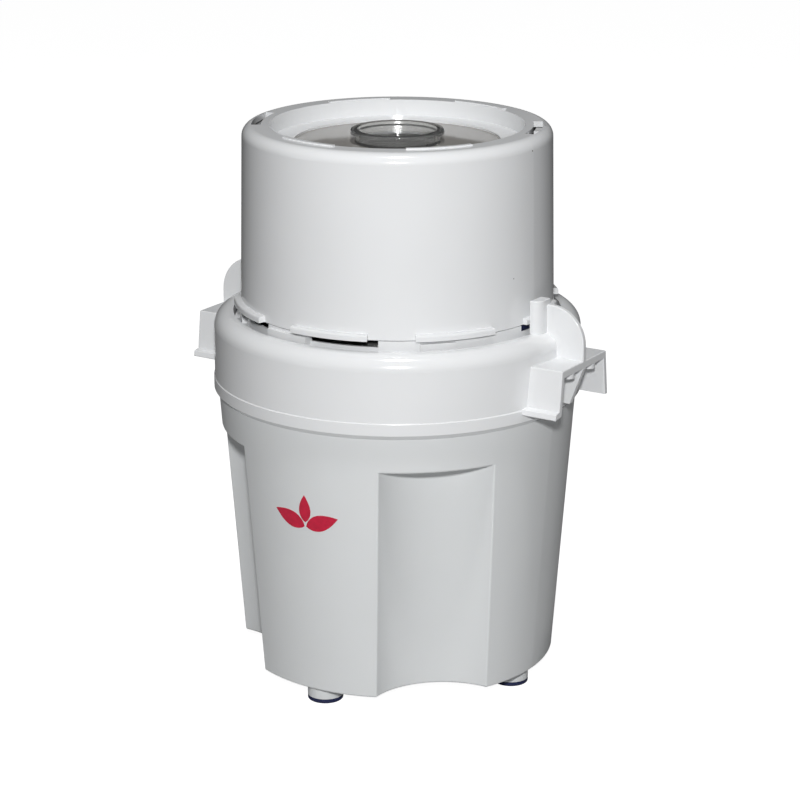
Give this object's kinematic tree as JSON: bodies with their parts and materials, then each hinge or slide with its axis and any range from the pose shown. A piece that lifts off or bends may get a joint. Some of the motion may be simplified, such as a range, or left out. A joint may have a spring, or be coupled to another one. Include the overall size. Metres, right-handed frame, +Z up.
{
  "type": "electric food chopper",
  "caption": "Electric food chopper with a lobed motor base on feet, a collar with two finger grips, and a tall round cover with a clear window and knob that is pressed down to run.",
  "frame": {"origin": "centre of the foot circle at the underside of the rubber pads", "axes": "+Z up along the motor axis, +X through the right grip, +Y towards the cord inlet"},
  "size_m": [0.196, 0.17, 0.2586],
  "materials": {
    "white_plastic": "glossy moulded white, faint orange peel",
    "navy_rubber": "matt navy rubber",
    "navy_plastic": "matt navy plastic",
    "steel": "zinc-plated or ground steel",
    "blade_steel": "ground stainless steel",
    "dark_plastic": "matt black moulding",
    "white_rubber": "matt white rubber",
    "black_rubber": "matt black rubber",
    "silicone": "milky silicone",
    "core_steel": "stacked laminations, varnished",
    "copper": "enamelled copper",
    "carbon": "pressed carbon",
    "bronze": "sintered bronze",
    "cast_aluminium": "die cast, satin",
    "gear_plastic": "natural nylon, satin",
    "clear_plastic": "polished clear moulding",
    "window_plastic": "polished grey-beige translucent moulding"
  },
  "bodies": {
    "base": {"base_plate": "white_plastic", "base_screws": "steel", "brush_holder_left": "dark_plastic", "brush_holder_right": "dark_plastic", "brush_springs": "steel", "capacitor": "dark_plastic", "carbon_brush_left": "carbon", "carbon_brush_right": "carbon", "collar": "white_plastic", "cord_inlet": "white_rubber", "deck_screws": "steel", "field_coil_left": "copper", "field_coil_right": "copper", "foot_pad_back": "navy_rubber", "foot_pad_front": "navy_rubber", "foot_pad_left": "navy_rubber", "foot_pad_right": "navy_rubber", "gear_case": "cast_aluminium", "gear_case_screws": "steel", "grip_left": "white_plastic", "grip_right": "white_plastic", "grip_screws": "steel", "lower_bearing": "bronze", "lower_bracket": "cast_aluminium", "motor_housing": "white_plastic", "output_bearing": "bronze", "return_springs": "steel", "ring_gear": "gear_plastic", "shaft_seal": "black_rubber", "stator_core": "core_steel", "switch_body": "dark_plastic", "tie_bolts": "steel", "top_deck": "white_plastic", "upper_bearing": "bronze", "upper_bracket": "cast_aluminium"},
    "seat": {"seat_ring": "white_plastic"},
    "plunger": {"interlock_plunger": "navy_plastic"},
    "bowl": {"bowl": "clear_plastic"},
    "cover": {"cover_shell": "white_plastic", "window_disc": "window_plastic", "clear_knob": "clear_plastic", "cover_gasket": "silicone"},
    "blades": {"blade_hub": "gear_plastic", "lower_blade": "blade_steel", "upper_blade": "blade_steel"},
    "rotor": {"motor_shaft": "steel", "armature_core": "core_steel", "armature_windings": "copper", "commutator": "copper", "cooling_fan": "dark_plastic", "sun_pinion": "steel"},
    "carrier": {"planet_carrier": "gear_plastic", "planet_pins": "steel", "output_shaft": "steel", "drive_dog": "steel"},
    "planet_1": {"planet_gear_1": "gear_plastic"},
    "planet_2": {"planet_gear_2": "gear_plastic"},
    "planet_3": {"planet_gear_3": "gear_plastic"}
  },
  "joints": [
    {"name": "press", "type": "slide", "parent": "base", "child": "seat", "axis": [0, 0, 1], "range_m": [-0.0045, 0], "stiffness_N_per_m": 3000, "springref_m": 0.0045, "deforming": ["return_springs"]},
    {"name": "interlock", "type": "slide", "parent": "base", "child": "plunger", "axis": [0, 0, 1], "range_m": [-0.0045, 0]},
    {"name": "bowl_lift", "type": "slide", "parent": "seat", "child": "bowl", "axis": [0, 0, 1], "range_m": [0, 0.13]},
    {"name": "cover_lift", "type": "slide", "parent": "bowl", "child": "cover", "axis": [0, 0, 1], "range_m": [0, 0.11]},
    {"name": "rotor_spin", "type": "hinge", "parent": "base", "child": "rotor", "pos_m": [0, 0, 0.06], "axis": [0, 0, 1], "continuous": true},
    {"name": "carrier_spin", "type": "hinge", "parent": "base", "child": "carrier", "pos_m": [0, 0, 0.127], "axis": [0, 0, 1], "continuous": true},
    {"name": "blade_spin", "type": "hinge", "parent": "bowl", "child": "blades", "pos_m": [0, 0, 0.17], "axis": [0, 0, 1], "continuous": true},
    {"name": "planet_1_spin", "type": "hinge", "parent": "carrier", "child": "planet_1", "pos_m": [0, 0.021, 0.1155], "axis": [0, 0, 1], "continuous": true},
    {"name": "planet_2_spin", "type": "hinge", "parent": "carrier", "child": "planet_2", "pos_m": [-0.01819, -0.0105, 0.1155], "axis": [0, 0, 1], "continuous": true},
    {"name": "planet_3_spin", "type": "hinge", "parent": "carrier", "child": "planet_3", "pos_m": [0.01819, -0.0105, 0.1155], "axis": [0, 0, 1], "continuous": true}
  ],
  "couplings": [
    {"joint": "interlock", "follows": "press", "ratio": 1},
    {"joint": "carrier_spin", "follows": "rotor_spin", "ratio": 0.21429},
    {"joint": "blade_spin", "follows": "rotor_spin", "ratio": 0.21429},
    {"joint": "planet_1_spin", "follows": "rotor_spin", "ratio": -0.58929},
    {"joint": "planet_2_spin", "follows": "rotor_spin", "ratio": -0.58929},
    {"joint": "planet_3_spin", "follows": "rotor_spin", "ratio": -0.58929}
  ]
}
